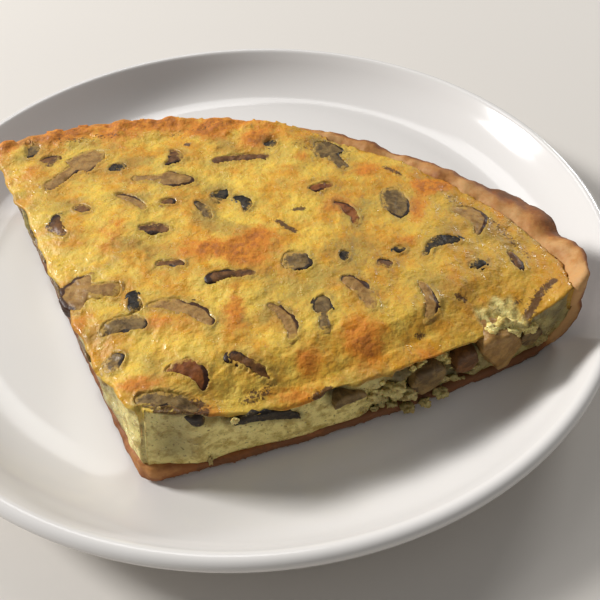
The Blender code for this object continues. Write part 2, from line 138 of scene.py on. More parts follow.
class Shader:
    """A Principled material that is put together one node at a time."""

    def __init__(self, name: str) -> None:
        """Starts a material with its Principled node and its object coordinates."""
        self.material = bpy.data.materials.new(name)
        self.material.use_nodes = True
        self.tree = self.material.node_tree
        self.surface = self.tree.nodes["Principled BSDF"]
        self.place = self.tree.nodes.new("ShaderNodeTexCoord").outputs["Object"]

    def _plug(self, socket: Socket, value: object) -> None:
        """Links a socket to another one, or sets its value."""
        if isinstance(value, Socket):
            self.tree.links.new(value, socket)
        elif isinstance(value, tuple) and len(value) == 3 and socket.type == "RGBA":
            socket.default_value = (*value, 1.0)
        else:
            socket.default_value = value

    def set(self, socket: str, value: object) -> None:
        """Gives the Principled node's socket a value or a link."""
        self._plug(self.surface.inputs[socket], value)

    def attribute(self, name: str) -> Socket:
        """A number that the mesh carries at each of its points."""
        node = self.tree.nodes.new("ShaderNodeAttribute")
        node.attribute_name = name
        return node.outputs["Fac"]

    def clouds(self, size: float, detail: float = 3.0, rough: float = 0.5, twist: float = 0.0) -> Socket:
        """Noise with features of a size in millimetres.

        Args:
            size: Size of one feature.
            detail: Number of finer layers.
            rough: Strength of the finer layers.
            twist: Distortion.

        Returns:
            The noise value's socket.
        """
        node = self.tree.nodes.new("ShaderNodeTexNoise")
        self.tree.links.new(self.place, node.inputs["Vector"])
        node.inputs["Scale"].default_value = 1.0 / (size * MM)
        node.inputs["Detail"].default_value = detail
        node.inputs["Roughness"].default_value = rough
        node.inputs["Distortion"].default_value = twist
        return node.outputs["Fac"]

    def window(self, value: object, low: float, high: float) -> Socket:
        """Stretches the stretch from low to high to 0 to 1, and holds it there."""
        node = self.tree.nodes.new("ShaderNodeMapRange")
        node.interpolation_type = "SMOOTHSTEP"
        self._plug(node.inputs["Value"], value)
        node.inputs["From Min"].default_value = low
        node.inputs["From Max"].default_value = high
        return node.outputs["Result"]

    def span(self, value: object, low: float, high: float) -> Socket:
        """Maps 0 to 1 onto low to high."""
        node = self.tree.nodes.new("ShaderNodeMapRange")
        self._plug(node.inputs["Value"], value)
        node.inputs["To Min"].default_value = low
        node.inputs["To Max"].default_value = high
        return node.outputs["Result"]

    def _pair(self, operation: str, first: object, second: object) -> Socket:
        """One arithmetic step between two values."""
        node = self.tree.nodes.new("ShaderNodeMath")
        node.operation = operation
        node.use_clamp = operation == "ADD"
        self._plug(node.inputs[0], first)
        self._plug(node.inputs[1], second)
        return node.outputs[0]

    def times(self, first: object, second: object) -> Socket:
        """The product of two values."""
        return self._pair("MULTIPLY", first, second)

    def plus(self, first: object, second: object) -> Socket:
        """The sum of two values, held between 0 and 1."""
        return self._pair("ADD", first, second)

    def mix(self, share: object, first: object, second: object) -> Socket:
        """A colour between two colours.

        Args:
            share: 0 for the first colour and 1 for the second.
            first: A colour or a socket.
            second: A colour or a socket.

        Returns:
            The mixed colour's socket.
        """
        node = self.tree.nodes.new("ShaderNodeMix")
        node.data_type = "RGBA"
        self._plug(node.inputs[0], share)
        self._plug(node.inputs[6], first)
        self._plug(node.inputs[7], second)
        return node.outputs[2]

    def soft(self, weight: float, scale: float) -> None:
        """Lets some light into the surface, over a scale in millimetres."""
        self.set("Subsurface Weight", weight)
        self.set("Subsurface Scale", scale * MM)

    def bump(self, layers: Sequence[tuple[Socket, float, float]]) -> None:
        """Stacks bumps on the Principled node.

        Args:
            layers: Height sockets, each with its strength and its depth in millimetres.
        """
        below = None
        for height, strength, depth in layers:
            node = self.tree.nodes.new("ShaderNodeBump")
            node.inputs["Strength"].default_value = strength
            node.inputs["Distance"].default_value = depth * MM
            self.tree.links.new(height, node.inputs["Height"])
            if below is not None:
                self.tree.links.new(below, node.inputs["Normal"])
            below = node.outputs["Normal"]
        self.tree.links.new(below, self.surface.inputs["Normal"])


class Tone(Enum):
    """How dark and how warm a cooked mushroom slice is."""

    BLACK = "black"
    GREY = "grey"
    BROWN = "brown"
    TAN = "tan"
    RUST = "rust"


@dataclass(frozen=True)
class GlazeFinish:
    """White glazed ceramic."""

    body: Colour = srgb(224, 220, 216)
    shade: Colour = srgb(220, 216, 211)
    roughness: float = 0.1

    def build(self) -> Material:
        """Makes the material."""
        shader = Shader("glazed_white")
        drift = shader.clouds(60.0, 1.0)
        shader.set("Base Color", shader.mix(drift, self.body, self.shade))
        worn = shader.span(shader.clouds(25.0, 2.0), self.roughness, self.roughness + 0.05)
        shader.set("Roughness", worn)
        shader.set("IOR", 1.5)
        shader.bump([(shader.clouds(18.0, 1.0), 0.08, 0.3)])
        return shader.material


@dataclass(frozen=True)
class CustardFinish:
    """Baked egg custard: golden and browned on top, pale and porous where it is cut."""

    gold: Colour = srgb(229, 188, 70)
    amber: Colour = srgb(208, 146, 34)
    # painted shade: a darker amber that the skin turns towards the right, where the light falls off
    falloff_shade: Colour = srgb(172, 120, 34)
    pale: Colour = srgb(214, 188, 88)
    orange: Colour = srgb(206, 128, 32)
    scorched: Colour = srgb(156, 88, 30)
    stained: Colour = srgb(136, 114, 56)
    speck: Colour = srgb(76, 46, 24)
    freckle: Colour = srgb(168, 112, 34)
    flesh: Colour = srgb(232, 214, 136)
    flesh_dark: Colour = srgb(184, 160, 86)
    pore: Colour = srgb(120, 98, 46)
    # painted shade in the hollows of the cuts
    hollow: Colour = srgb(46, 36, 22)
    # the cut's grey, which on the front cut is partly painted shade
    murky: Colour = srgb(104, 90, 56)

    def top_colour(self, shader: Shader) -> Socket:
        """The skin's colour, from gold to brown."""
        wide = shader.window(shader.clouds(11.0, 3.0, 0.55), 0.38, 0.62)
        fine = shader.window(shader.clouds(3.4, 4.0, 0.6), 0.42, 0.66)
        colour = shader.mix(wide, self.gold, self.amber)
        colour = shader.mix(shader.times(fine, 0.5), colour, self.pale)
        # painted shade: the skin darkens to a deeper amber towards the right, where the light falls off
        colour = shader.mix(shader.times(shader.attribute("falloff_shade"), 0.6), colour, self.falloff_shade)
        green = shader.window(shader.clouds(17.0, 2.0, 0.5, 0.3), 0.5, 0.66)
        colour = shader.mix(shader.times(green, 0.5), colour, self.stained)
        brown = shader.attribute("brown")
        patchy = shader.plus(brown, shader.span(shader.clouds(6.0, 4.0, 0.6), -0.55, 0.62))
        crackle = shader.span(shader.clouds(2.2, 4.0, 0.7), -0.9, 0.8)
        patchy = shader.plus(patchy, shader.times(brown, crackle))
        colour = shader.mix(shader.window(patchy, 0.12, 0.75), colour, self.orange)
        colour = shader.mix(shader.window(patchy, 0.7, 1.2), colour, self.scorched)
        freckles = shader.window(shader.clouds(1.6, 3.0, 0.65), 0.56, 0.74)
        colour = shader.mix(shader.times(freckles, 0.45), colour, self.freckle)
        stain = shader.attribute("stain")
        tint = shader.times(stain, shader.span(shader.clouds(2.0, 3.0), 0.1, 0.85))
        colour = shader.mix(tint, colour, self.stained)
        mark = shader.attribute("mark")
        speckled = shader.plus(shader.clouds(0.8, 4.0, 0.7), shader.span(mark, -0.12, 0.34))
        specks = shader.times(shader.window(speckled, 0.54, 0.7), 0.9)
        return shader.mix(specks, colour, self.speck)

    def cut_colour(self, shader: Shader) -> Socket:
        """The inside's colour, with pores."""
        shade = shader.window(shader.clouds(3.4, 4.0, 0.65), 0.43, 0.62)
        colour = shader.mix(shade, self.flesh, self.flesh_dark)
        holes = shader.window(shader.clouds(0.9, 3.0, 0.55), 0.6, 0.7)
        colour = shader.mix(shader.times(holes, 0.8), colour, self.pore)
        # greys the cut towards murky: mushroom juice, the cut's grey, and on the front cut's torn part and
        # near the tip also painted shade
        murk = shader.times(shader.attribute("stain"), shader.span(shader.clouds(4.0, 3.0), 0.5, 1.3))
        return shader.mix(murk, colour, self.murky)

    def build(self) -> Material:
        """Makes the material."""
        shader = Shader("baked_custard")
        skin = shader.attribute("skin")
        brown = shader.attribute("brown")
        colour = shader.mix(skin, self.cut_colour(shader), self.top_colour(shader))
        # painted shade: the cuts' hollows darken towards the hollow colour
        colour = shader.mix(shader.attribute("deep"), colour, self.hollow)
        shader.set("Base Color", colour)
        wet = shader.window(shader.clouds(2.2, 3.0, 0.6), 0.5, 0.62)
        dull = shader.times(shader.window(brown, 0.3, 1.0), 0.22)
        shader.set("Roughness", shader.plus(shader.span(wet, 0.52, 0.2), dull))
        shader.set("Specular IOR Level", 0.36)
        shader.soft(0.12, 1.5)
        shader.bump([(shader.clouds(2.4, 3.0), 0.45, 0.6), (shader.clouds(1.1, 2.0), 0.75, 0.45)])
        return shader.material


@dataclass(frozen=True)
class PastryFinish:
    """Shortcrust: pale inside the rim, brown on its edge, its outside and its underside, and darker on its
    underside band away from the tip as painted shade.
    """

    pale: Colour = srgb(194, 148, 94)
    tan: Colour = srgb(172, 118, 62)
    brown: Colour = srgb(136, 82, 40)
    # a dark brown for the rim's darkest crest and for the painted shade on the underside band
    dark: Colour = srgb(60, 46, 32)
    film: Colour = srgb(196, 132, 56)

    def build(self) -> Material:
        """Makes the material."""
        shader = Shader("baked_pastry")
        # how baked the pastry is, with painted shade on the underside band
        bake_and_shade = shader.attribute("bake_and_shade")
        mottle = shader.span(shader.clouds(3.6, 4.0, 0.65), -0.55, 0.55)
        level = shader.plus(bake_and_shade, mottle)
        colour = shader.mix(shader.window(level, 0.05, 0.45), self.pale, self.tan)
        colour = shader.mix(shader.window(level, 0.4, 0.8), colour, self.brown)
        colour = shader.mix(shader.window(level, 0.8, 1.25), colour, self.dark)
        film = shader.times(shader.attribute("film"), shader.span(shader.clouds(3.0, 3.0), 0.6, 1.1))
        colour = shader.mix(film, colour, self.film)
        shader.set("Base Color", colour)
        shader.set("Roughness", shader.span(shader.clouds(3.0, 3.0), 0.5, 0.75))
        shader.set("Specular IOR Level", 0.3)
        shader.soft(0.08, 1.0)
        shader.bump([(shader.clouds(2.6, 4.0), 0.5, 0.5), (shader.clouds(0.7, 3.0), 0.4, 0.2)])
        return shader.material


@dataclass(frozen=True)
class MushroomFinish:
    """A cooked, moist mushroom slice of one tone: its flesh, its stains and its dark edge."""

    tone: Tone
    flesh: Colour
    stain: Colour
    edge: Colour
    grit: Colour
    film_share: float
    film: Colour = srgb(186, 148, 70)

    def build(self) -> Material:
        """Makes the material."""
        shader = Shader(f"cooked_mushroom_{self.tone.value}")
        blotch = shader.window(shader.clouds(2.6, 4.0, 0.6, 0.6), 0.36, 0.66)
        colour = shader.mix(blotch, self.flesh, self.stain)
        rim = shader.plus(shader.attribute("rim"), shader.span(shader.clouds(2.2, 3.0), -0.35, 0.25))
        colour = shader.mix(shader.window(rim, 0.3, 0.6), colour, self.edge)
        grit = shader.window(shader.clouds(0.7, 3.0, 0.7), 0.58, 0.7)
        colour = shader.mix(shader.times(grit, 0.6), colour, self.grit)
        broken = shader.span(shader.attribute("outline"), self.film_share - 0.5, self.film_share)
        wide = shader.plus(shader.clouds(1.1, 4.0, 0.7), broken)
        film = shader.times(shader.window(wide, 0.62, 0.82), 0.85)
        colour = shader.mix(film, colour, self.film)
        shader.set("Base Color", colour)
        shader.set("Roughness", shader.span(shader.clouds(1.6, 3.0), 0.26, 0.55))
        shader.set("Specular IOR Level", 0.22)
        shader.soft(0.08, 1.0)
        shader.bump([(shader.clouds(1.4, 3.0), 0.5, 0.4), (shader.clouds(0.5, 2.0), 0.4, 0.18)])
        return shader.material


MUSHROOM_FINISHES = (
    MushroomFinish(
        Tone.BLACK, srgb(58, 48, 34), srgb(28, 24, 20), srgb(20, 16, 13), srgb(138, 116, 66), 0.24
    ),
    MushroomFinish(Tone.GREY, srgb(134, 108, 64), srgb(90, 70, 42), srgb(46, 34, 24), srgb(52, 40, 28), 0.3),
    MushroomFinish(Tone.BROWN, srgb(122, 82, 44), srgb(82, 54, 30), srgb(46, 28, 18), srgb(54, 34, 22), 0.24),
    MushroomFinish(Tone.TAN, srgb(168, 130, 74), srgb(134, 98, 52), srgb(66, 40, 24), srgb(92, 64, 38), 0.32),
    MushroomFinish(Tone.RUST, srgb(140, 82, 38), srgb(104, 58, 28), srgb(58, 30, 16), srgb(72, 40, 22), 0.26),
)


# Mesh tools


def new_piece(
    name: str, builder: Builder, material: Material, nodes: Iterable[str]
) -> Piece:
    """Makes a finished piece out of a bmesh in metres.

    Args:
        name: The piece's name.
        builder: Its mesh, which is freed.
        material: Its finish.
        nodes: The frame's nodes that it stands for.

    Returns:
        The piece, riding on the root body.
    """
    mesh = bpy.data.meshes.new(name)
    builder.to_mesh(mesh)
    builder.free()
    mesh.shade_smooth()
    mesh.materials.append(material)
    piece = bpy.data.objects.new(name, mesh)
    bpy.context.scene.collection.objects.link(piece)
    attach(piece, "root")
    for node in nodes:
        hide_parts(node)
    LOG.info("%s: %d faces", name, len(mesh.polygons))
    return piece


def merged_copy(node: Piece) -> Builder:
    """A frame node's mesh with its loose triangles joined."""
    builder = bmesh.new()
    builder.from_mesh(node.data)
    bmesh.ops.remove_doubles(builder, verts=builder.verts, dist=MERGE)
    return builder


def even_mesh(builder: Builder, size: float) -> Builder:
    """Rebuilds a closed mesh out of small, even faces.

    Args:
        builder: The mesh, which is freed.
        size: The side of one face in millimetres.

    Returns:
        The new mesh.
    """
    mesh = bpy.data.meshes.new("rough")
    builder.to_mesh(mesh)
    builder.free()
    holder = bpy.data.objects.new("rough", mesh)
    bpy.context.scene.collection.objects.link(holder)
    modifier = holder.modifiers.new("even", "REMESH")
    modifier.mode = "VOXEL"
    modifier.voxel_size = size * MM
    view = bpy.context.evaluated_depsgraph_get()
    result = bmesh.new()
    result.from_mesh(holder.evaluated_get(view).to_mesh())
    bpy.data.objects.remove(holder)
    bpy.data.meshes.remove(mesh)
    return result


def soften(builder: Builder, verts: Sequence, times: int) -> None:
    """Smooths points a few times."""
    for _ in range(times):
        bmesh.ops.smooth_vert(
            builder, verts=verts, factor=0.5, use_axis_x=True, use_axis_y=True, use_axis_z=True
        )


def paint(builder: Builder, names: Sequence[str]) -> list[bmesh.types.BMLayerItem]:
    """Gives every point one number for each name, for the finishes to read."""
    layers = builder.verts.layers.float
    for name in names:
        if name not in layers.keys():
            layers.new(name)
    return [layers[name] for name in names]


# The slice's plan


@dataclass(frozen=True)
class Wedge:
    """The slice in plan: a tip, two cuts, and radii about the tip."""

    tip_x: float = -22.5
    tip_y: float = -85.5
    front: float = math.radians(21.2)
    left: float = math.radians(120.3)
    radius: float = 124.0
    bulge: float = 3.0
    lean: float = 6.5
    lean_reach: float = 11.0
    height: float = 24.0

    def place(self, radius: float, turn: float) -> tuple[float, float]:
        """Plan place of a radius and a turn, which is 0 on the front cut and 1 on the left cut."""
        angle = self.front + turn * (self.left - self.front)
        bulge = self.bulge * math.sin(math.pi * min(1.0, radius / self.radius)) * (1.0 - turn) ** 3
        x = self.tip_x + radius * math.cos(angle) + bulge * math.sin(self.front)
        y = self.tip_y + radius * math.sin(angle) - bulge * math.cos(self.front)
        return x, y

    def polar(self, x: float, y: float) -> tuple[float, float]:
        """Radius and turn of a plan place."""
        angle = math.atan2(y - self.tip_y, x - self.tip_x)
        radius = math.hypot(x - self.tip_x, y - self.tip_y)
        return radius, (angle - self.front) / (self.left - self.front)

    def leant(self, x: float, y: float, radius: float, up: float) -> tuple[float, float]:
        """A plan place moved back by the tip's lean, at a share of the slice's height."""
        lean = self.lean * up * math.exp(-radius / self.lean_reach)
        middle = (self.front + self.left) / 2
        return x + lean * math.cos(middle), y + lean * math.sin(middle)

    def pushed(self, x: float, y: float, front: float = 0.0, left: float = 0.0) -> tuple[float, float]:
        """A plan place moved outwards, square to the front cut and to the left cut."""
        x += front * math.sin(self.front) - left * math.sin(self.left)
        y += left * math.cos(self.left) - front * math.cos(self.front)
        return x, y

    def inward(self, radius: float, turn: float) -> float:
        """Distance of a place from the front cut."""
        return radius * math.sin(max(0.0, turn) * (self.left - self.front))


class Survey:
    """Heights and outlines measured on the frame's nodes."""

    PROUD = 0.6  # how far the top slices stand above the custard
    CELL = 0.5  # side of a cell of the cover mask
    LOW = (-92.0, -92.0)  # the mask's first corner
    COUNTS = (360, 280)  # its cells along X and Y
    SKY = 0.2  # height in metres from which surfaces are looked for

    def __init__(self, nodes: dict[str, Piece]) -> None:
        """Joins the slices' nodes into one surface, and keeps one each for the other nodes."""
        self.nodes = nodes
        self.slices = sorted(name for name in nodes if name.startswith("mushroom_"))
        self.custard = self._tree(["custard"])
        self.tops = self._tree([name for name in self.slices if name.startswith("mushroom_top")])
        self.pastry = self._tree(["crust"])
        self.dark = self._tree(self.slices)
        self.plate = self._tree(["plate"])
        self.mask = self._cover_mask()

    def _tree(self, names: Iterable[str]) -> BVHTree:
        """One search tree over several nodes."""
        builder = bmesh.new()
        for name in names:
            builder.from_mesh(self.nodes[name].data)
        bmesh.ops.remove_doubles(builder, verts=builder.verts, dist=MERGE)
        tree = BVHTree.FromBMesh(builder)
        builder.free()
        return tree

    @staticmethod
    def drop(tree: BVHTree, x: float, y: float) -> float | None:
        """Height in millimetres of the first surface below a plan place, or None."""
        hit = tree.ray_cast(Vector((x * MM, y * MM, Survey.SKY)), Vector((0.0, 0.0, -1.0)))
        return None if hit[0] is None else hit[0].z / MM

    def _cover_mask(self) -> list[list[float]]:
        """A grid that is 1 inside the top slices and 0 outside, softened across their outlines."""
        wide, deep = self.COUNTS
        rows = []
        for row in range(deep):
            y = self.LOW[1] + row * self.CELL
            places = (self.LOW[0] + column * self.CELL for column in range(wide))
            rows.append([float(self.drop(self.tops, x, y) is not None) for x in places])
        for _ in range(3):
            rows = [[sum(line[max(0, i - 1) : i + 2]) / 3.0 for i in range(wide)] for line in rows]
            turned = [list(line) for line in zip(*rows)]
            turned = [[sum(line[max(0, i - 1) : i + 2]) / 3.0 for i in range(deep)] for line in turned]
            rows = [list(line) for line in zip(*turned)]
        return rows

    def cover(self, x: float, y: float) -> float:
        """How far a place is inside a top slice: 0 outside, about 0.5 on its outline, 1 inside."""
        across = (x - self.LOW[0]) / self.CELL
        along = (y - self.LOW[1]) / self.CELL
        i = min(max(int(across), 0), self.COUNTS[0] - 2)
        j = min(max(int(along), 0), self.COUNTS[1] - 2)
        u, v = across - i, along - j
        near = self.mask[j][i] * (1.0 - u) + self.mask[j][i + 1] * u
        far = self.mask[j + 1][i] * (1.0 - u) + self.mask[j + 1][i + 1] * u
        return near * (1.0 - v) + far * v

    def skin_height(self, x: float, y: float) -> float | None:
        """Height of the custard's plain top, as if no slice stood in it."""
        heights = []
        for dx, dy in ((0.0, 0.0), (0.6, 0.0), (-0.6, 0.0), (0.0, 0.6), (0.0, -0.6)):
            on_slice = self.drop(self.tops, x + dx, y + dy)
            plain = self.drop(self.custard, x + dx, y + dy)
            if on_slice is not None:
                heights.append(on_slice - self.PROUD)
            elif plain is not None:
                heights.append(plain)
        return max(heights) if heights else None

    def rise(self, x: float, y: float) -> float:
        """How far the plate's face rises above its floor at a plan place."""
        return max(0.0, (self.drop(self.plate, x, y) or PLATE_FLOOR) - PLATE_FLOOR)

    def near_slice(self, place: Vector, reach: float) -> float:
        """How close a place is to a mushroom slice: 1 on it, 0 beyond a reach in millimetres."""
        hit = self.dark.find_nearest(place, reach * MM)
        return 0.0 if hit[0] is None else 1.0 - hit[3] / (reach * MM)


def swell(x: float, y: float) -> float:
    """Gentle rise and fall of the baked top, in millimetres, which its slices follow."""
    return 0.6 * grain(x, y, 0.0, 11.0, 1.0)


# Plate


@dataclass
class Plate:
    """A round coupe plate, turned in fine steps on the frame's own sizes."""

    floor: float = PLATE_FLOOR
    wall: float = 4.2
    flat_radius: float = 84.5
    bend_radius: float = 26.0
    bend_angle: float = math.radians(55.0)
    foot_inner: float = 60.0
    foot_outer: float = 66.0
    foot_height: float = 2.0
    turns: int = 180

    def _bend(self, offset: float) -> list[tuple[float, float]]:
        """The bent wall, offset from its middle towards the inside."""
        radius = self.bend_radius - offset
        centre = self.floor - self.wall / 2 + self.bend_radius
        points = []
        for index in range(19):
            angle = self.bend_angle * index / 18
            across = self.flat_radius + radius * math.sin(angle)
            points.append((across, centre - radius * math.cos(angle)))
        return points

    def _lip(self, outer: float) -> list[tuple[float, float]]:
        """The half round at the wall's top, from the inside to the outside."""
        half = self.wall / 2
        middle = outer - half
        run = middle - self.flat_radius - self.bend_radius * math.sin(self.bend_angle)
        rise = self.bend_radius * (1.0 - math.cos(self.bend_angle)) + run * math.tan(self.bend_angle)
        height = self.floor - half + rise
        start = self.bend_angle + math.pi / 2
        points = []
        for index in range(13):
            angle = start - math.pi * index / 12
            points.append((middle + half * math.cos(angle), height + half * math.sin(angle)))
        return points

    def build(self, material: Material) -> Piece:
        """Spins the profile into the plate.

        Args:
            material: The glaze.

        Returns:
            The plate.
        """
        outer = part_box("plate")[1][0] / MM
        profile = [(0.0, self.floor), (30.0, self.floor), (60.0, self.floor), (75.0, self.floor)]
        profile += self._bend(self.wall / 2) + self._lip(outer)
        profile += list(reversed(self._bend(-self.wall / 2)))
        for index in range(7):
            angle = math.pi * index / 6
            middle = (self.foot_outer + self.foot_inner) / 2
            across = middle + (self.foot_outer - middle + 0.6) * math.cos(angle)
            profile.append((across, self.foot_height * (1.0 - min(1.0, 1.6 * math.sin(angle)))))
        profile.append((0.0, self.foot_height))
        builder = bmesh.new()
        corners = [builder.verts.new((radius * MM, 0.0, height * MM)) for radius, height in profile]
        for first, second in zip(corners, corners[1:]):
            builder.edges.new((first, second))
        bmesh.ops.spin(
            builder,
            geom=builder.verts[:] + builder.edges[:],
            cent=(0.0, 0.0, 0.0),
            axis=(0.0, 0.0, 1.0),
            angle=2.0 * math.pi,
            steps=self.turns,
            use_merge=True,
        )
        bmesh.ops.remove_doubles(builder, verts=builder.verts, dist=MERGE / 2)
        bmesh.ops.recalc_face_normals(builder, faces=builder.faces)
        return new_piece("plate_glazed", builder, material, ["plate"])


# Custard


@dataclass(frozen=True)
class Patch:
    """A browned place: a soft oval in plan."""

    x: float
    y: float
    reach_x: float
    reach_y: float
    strength: float

    def at(self, x: float, y: float) -> float:
        """Strength at a place."""
        across = ((x - self.x) / self.reach_x) ** 2
        return self.strength * math.exp(-across - ((y - self.y) / self.reach_y) ** 2)


BROWNED = tuple(
    Patch(*row)
    for row in (
        (-10.0, -28.5, 10.0, 4.2, 1.0), (3.0, -24.0, 6.5, 6.0, 0.85),
        (0.0, -33.0, 6.0, 2.8, 0.7), (-38.0, -22.0, 4.6, 9.0, 0.6),
        (30.0, -59.0, 6.0, 7.0, 1.0), (16.0, -65.0, 3.4, 4.0, 0.85),
        (12.0, -73.0, 6.0, 2.6, 0.8), (-2.0, -51.0, 4.0, 8.0, 0.7),
        (-20.0, -55.0, 8.0, 2.4, 0.65), (-22.0, -73.0, 6.5, 3.2, 0.8),
        (-7.0, -79.0, 4.0, 2.4, 0.75), (53.0, -1.0, 5.4, 4.4, 1.15),
        (48.0, -12.0, 3.2, 5.6, 0.85), (35.0, 8.0, 5.0, 4.6, 0.8),
        (43.0, -25.0, 5.0, 2.4, 0.65), (26.0, -9.0, 5.0, 5.0, 0.8),
        (-67.0, 27.0, 9.0, 4.0, 1.2), (-77.5, 20.0, 3.0, 5.0, 0.75),
        (-69.0, 6.0, 5.0, 6.0, 0.45), (0.0, 23.0, 5.0, 4.0, 0.95),
        (-16.0, 28.0, 6.0, 6.0, 0.8), (-40.0, 33.0, 12.0, 4.0, 0.85),
        (-46.0, 24.0, 5.0, 7.0, 0.5), (15.0, 14.0, 3.0, 3.4, 0.7),
        (71.0, -12.0, 3.0, 8.0, 0.5), (62.0, 0.0, 6.0, 4.0, 0.45),
        (45.0, -62.0, 5.0, 3.0, 0.6), (55.0, -38.0, 6.0, 6.0, 0.35),
        (-40.0, -54.0, 3.0, 5.0, 0.5),
    )
)


@dataclass(frozen=True)
class Stroke:
    """A narrow dark mark: a sliver of mushroom just below the skin."""

    start: tuple[float, float]
    end: tuple[float, float]
    width: float
    strength: float = 1.0

    def at(self, x: float, y: float) -> float:
        """Strength at a place."""
        place, start = Vector((x, y)), Vector(self.start)
        run = Vector(self.end) - start
        share = min(1.0, max(0.0, (place - start).dot(run) / run.length_squared))
        return self.strength * bell((place - start - run * share).length, self.width)


STROKES = tuple(
    Stroke(*row)
    for row in (
        ((8.0, -17.0), (13.0, -21.0), 1.0), ((12.6, -11.6), (15.4, -11.2), 0.9),
        ((41.0, 9.0), (45.0, 5.0), 1.1, 0.8), ((54.6, -45.2), (56.4, -45.8), 1.1, 0.8),
        ((-22.4, 20.5), (-21.6, 20.5), 0.9), ((18.0, -73.6), (21.0, -71.6), 1.6),
        ((80.0, -41.0), (76.0, -44.0), 1.1, 0.9), ((76.0, -44.0), (71.5, -50.5), 1.3, 1.0),
        ((2.0, -74.5), (7.0, -72.0), 1.8, 0.6), ((43.4, -56.2), (44.8, -55.8), 1.0, 0.7),
        ((61.0, -50.5), (66.0, -47.0), 1.5, 0.9), ((66.0, -47.0), (70.5, -45.6), 1.1, 0.7),
        ((58.0, -6.0), (70.0, -19.0), 2.0, 0.45), ((70.0, -19.0), (76.0, -31.0), 1.8, 0.45),
        ((84.0, -30.0), (87.0, -38.0), 1.1, 0.5), ((-64.0, 22.0), (-46.0, 25.0), 2.2, 0.4),
        ((-29.0, 26.0), (-12.0, 31.0), 1.4, 0.4), ((13.0, 20.0), (30.0, 17.0), 2.0, 0.4),
    )
)


@dataclass(frozen=True)
class Hollow:
    """A hollow in a cut: how far along and up it is, its reach each way, its depth, and how much shade is
    painted in it.
    """

    along: float
    reach: float
    up: float
    height: float
    depth: float
    dark: float
    slope: float = 0.0
    waver: float = 0.0

    def at(self, along: float, up: float) -> float:
        """Its depth at a place of the cut."""
        middle = self.up + self.slope * (along - self.along)
        middle -= self.waver * grain(along, 0.0, 0.0, 5.0, 28.0)
        return self.depth * bell(along - self.along, self.reach) * bell(up - middle, self.height)


FRONT_HOLLOWS = (
    Hollow(8.0, 3.8, 12.0, 5.5, 2.0, 0.1),
    Hollow(27.0, 9.0, 15.8, 1.7, 3.6, 0.34, slope=-0.36),
    Hollow(48.0, 2.6, 17.0, 3.0, 4.0, 0.3),
    Hollow(84.0, 4.2, 8.5, 4.0, 3.6, 0.28),
    Hollow(79.0, 13.0, 17.0, 1.7, 3.4, 0.28, waver=0.6),
    Hollow(70.0, 2.6, 5.5, 2.4, 3.4, 0.28),
)
LEFT_HOLLOWS = (
    Hollow(88.0, 4.0, 17.0, 3.0, 3.0, 0.25),
    Hollow(48.0, 4.0, 13.0, 3.0, 2.6, 0.25),
)


def hollows_at(hollows: Sequence[Hollow], along: float, up: float) -> tuple[float, float]:
    """The depth of all hollows at a place of a cut, and how much shade is painted there."""
    depths = [hollow.at(along, up) for hollow in hollows]
    dark = sum(hollow.dark * depth for hollow, depth in zip(hollows, depths))
    return sum(depths), min(1.0, dark)


